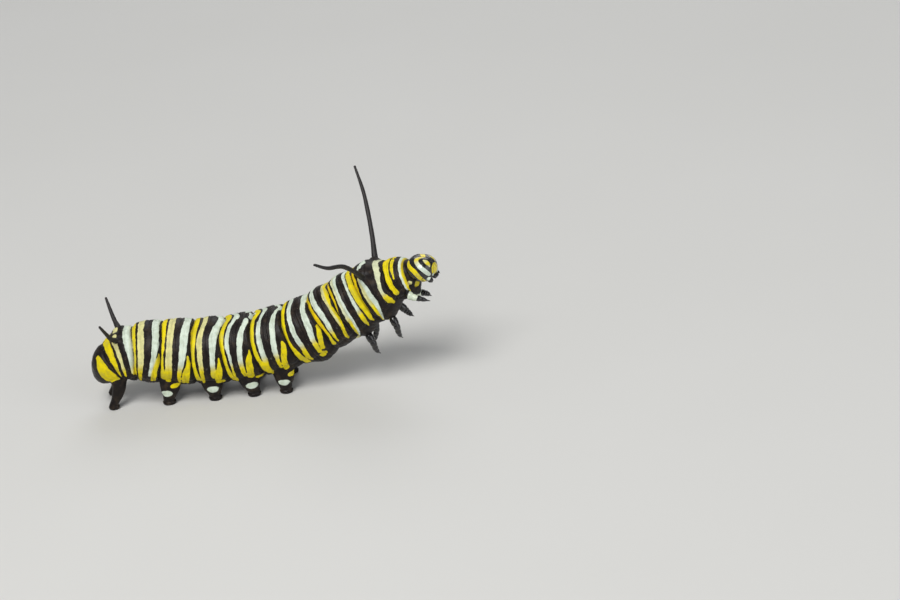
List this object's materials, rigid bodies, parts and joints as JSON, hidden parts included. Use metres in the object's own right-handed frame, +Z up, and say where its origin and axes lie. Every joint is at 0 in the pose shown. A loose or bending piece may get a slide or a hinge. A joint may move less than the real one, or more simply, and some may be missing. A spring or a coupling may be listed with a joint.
{
  "type": "monarch larva",
  "caption": "Life-size insect larva walking with its front end raised: banded soft body, rounded head, jointed legs, fleshy feet and slender filaments.",
  "frame": {"origin": "on the floor under the middle of the model's box", "axes": "+X towards the head, +Y to the animal's left, +Z up"},
  "size_m": [0.04, 0.02, 0.0208],
  "materials": {
    "banded_skin": "satin skin in rings of black, yellow and bluish white",
    "head_shell": "glossy black with pale yellow arches",
    "leg_shell": "glossy black horn",
    "filament": "matte black skin"
  },
  "bodies": {
    "root": {"head": "head_shell", "labrum": "head_shell", "labium": "head_shell", "mandible_left": "head_shell", "mandible_right": "head_shell", "antenna_left": "head_shell", "antenna_right": "head_shell", "prothorax": "banded_skin", "mesothorax": "banded_skin", "metathorax": "banded_skin", "abdomen_1": "banded_skin", "abdomen_2": "banded_skin", "abdomen_3": "banded_skin", "abdomen_4": "banded_skin", "abdomen_5": "banded_skin", "abdomen_6": "banded_skin", "abdomen_7": "banded_skin", "abdomen_8": "banded_skin", "abdomen_tail": "banded_skin", "proleg_3_left": "banded_skin", "proleg_3_right": "banded_skin", "proleg_4_left": "banded_skin", "proleg_4_right": "banded_skin", "proleg_5_left": "banded_skin", "proleg_5_right": "banded_skin", "proleg_6_left": "banded_skin", "proleg_6_right": "banded_skin", "proleg_anal_left": "banded_skin", "proleg_anal_right": "banded_skin", "filament_front_left": "filament", "filament_front_right": "filament", "filament_rear_left": "filament", "filament_rear_right": "filament", "leg_front_left": "leg_shell", "leg_front_right": "leg_shell", "leg_middle_left": "leg_shell", "leg_middle_right": "leg_shell", "leg_hind_left": "leg_shell", "leg_hind_right": "leg_shell"}
  },
  "joints": []
}
